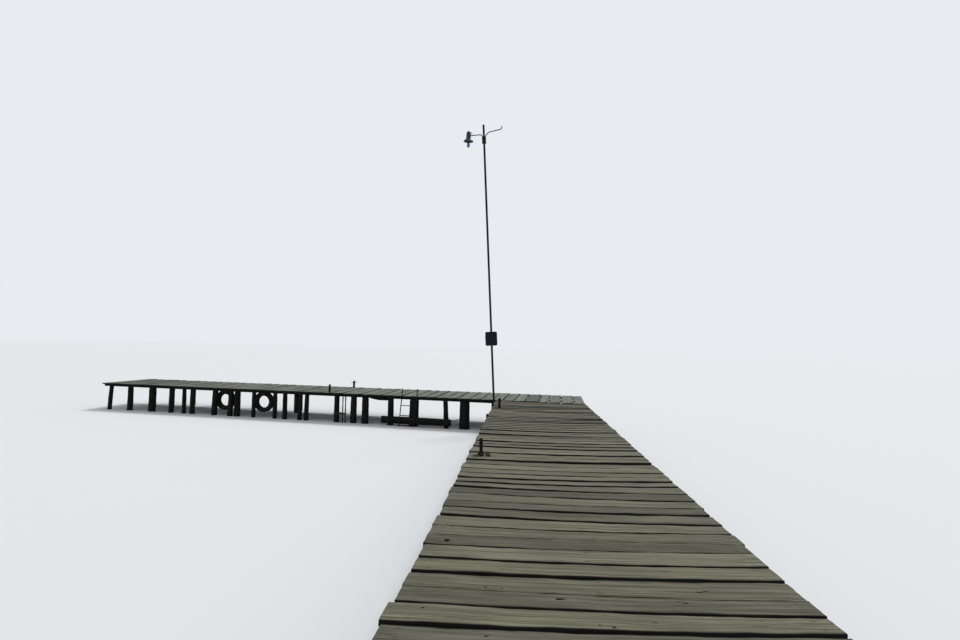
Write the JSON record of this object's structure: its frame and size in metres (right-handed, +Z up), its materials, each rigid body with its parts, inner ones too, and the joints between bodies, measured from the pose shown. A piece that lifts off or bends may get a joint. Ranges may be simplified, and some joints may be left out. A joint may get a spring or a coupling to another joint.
{
  "type": "wooden jetty",
  "caption": "L-shaped timber jetty: plank walkway on pile bents, skewed mooring arm with fender tyres, ladder, mooring posts and a tall lamp pole with switch box.",
  "frame": {"origin": "middle of the jetty's bounding box in plan, at the water level where the piles are cut flat", "axes": "+Z up, +Y along the walkway from its shore end to the arm, +X to the right seen from the shore; the arm goes towards -X"},
  "size_m": [16.2712, 23.8433, 8.8286],
  "materials": {
    "deck_wood": "weathered sawn boards, grey brown",
    "beam_wood": "dark damp sawn timber",
    "pile_wood": "dark round logs, wet at the foot",
    "post_wood": "worn brown posts",
    "tyre": "old car tyre, dull",
    "rope": "dark laid rope",
    "strap": "dark webbing",
    "ladder_steel": "rusty dark paint",
    "pole_steel": "dull grey paint with rust",
    "lamp_enamel": "dark green enamel",
    "ceramic": "glazed pale ceramic",
    "bulb_glass": "clear bluish glass",
    "box_paint": "dark grey paint, scuffed"
  },
  "bodies": {
    "root": {"walkway_planks_1": "deck_wood", "walkway_planks_2": "deck_wood", "walkway_planks_3": "deck_wood", "walkway_planks_4": "deck_wood", "walkway_planks_5": "deck_wood", "walkway_planks_6": "deck_wood", "walkway_planks_7": "deck_wood", "corner_planks": "deck_wood", "arm_planks_1": "deck_wood", "arm_planks_2": "deck_wood", "arm_planks_3": "deck_wood", "arm_planks_4": "deck_wood", "walkway_stringers": "beam_wood", "walkway_cap_beams": "beam_wood", "joining_ledger": "beam_wood", "arm_front_stringer": "beam_wood", "arm_inner_stringers": "beam_wood", "stringer_bolster": "beam_wood", "fender_beam": "beam_wood", "walkway_piles": "pile_wood", "arm_front_piles": "pile_wood", "arm_middle_piles": "pile_wood", "arm_back_piles": "pile_wood", "thin_stakes": "pile_wood", "stake_lashing": "rope", "tyre_1": "tyre", "tyre_2": "tyre", "tyre_3": "tyre", "tyre_straps": "strap", "ladder_rails": "ladder_steel", "ladder_rungs": "ladder_steel", "lamp_pole": "pole_steel", "pole_straps": "pole_steel", "lamp_arm": "pole_steel", "empty_arm": "pole_steel", "arm_clamps": "pole_steel", "lamp_housing": "lamp_enamel", "lamp_shade": "lamp_enamel", "lamp_socket": "ceramic", "lamp_bulb": "bulb_glass", "insulator": "ceramic", "switch_box": "box_paint", "switch_box_door": "box_paint", "switch_box_brackets": "pole_steel", "mooring_posts": "post_wood", "post_pin": "ladder_steel", "mooring_rope_coil": "rope", "mooring_rope_ends": "rope"}
  },
  "joints": []
}
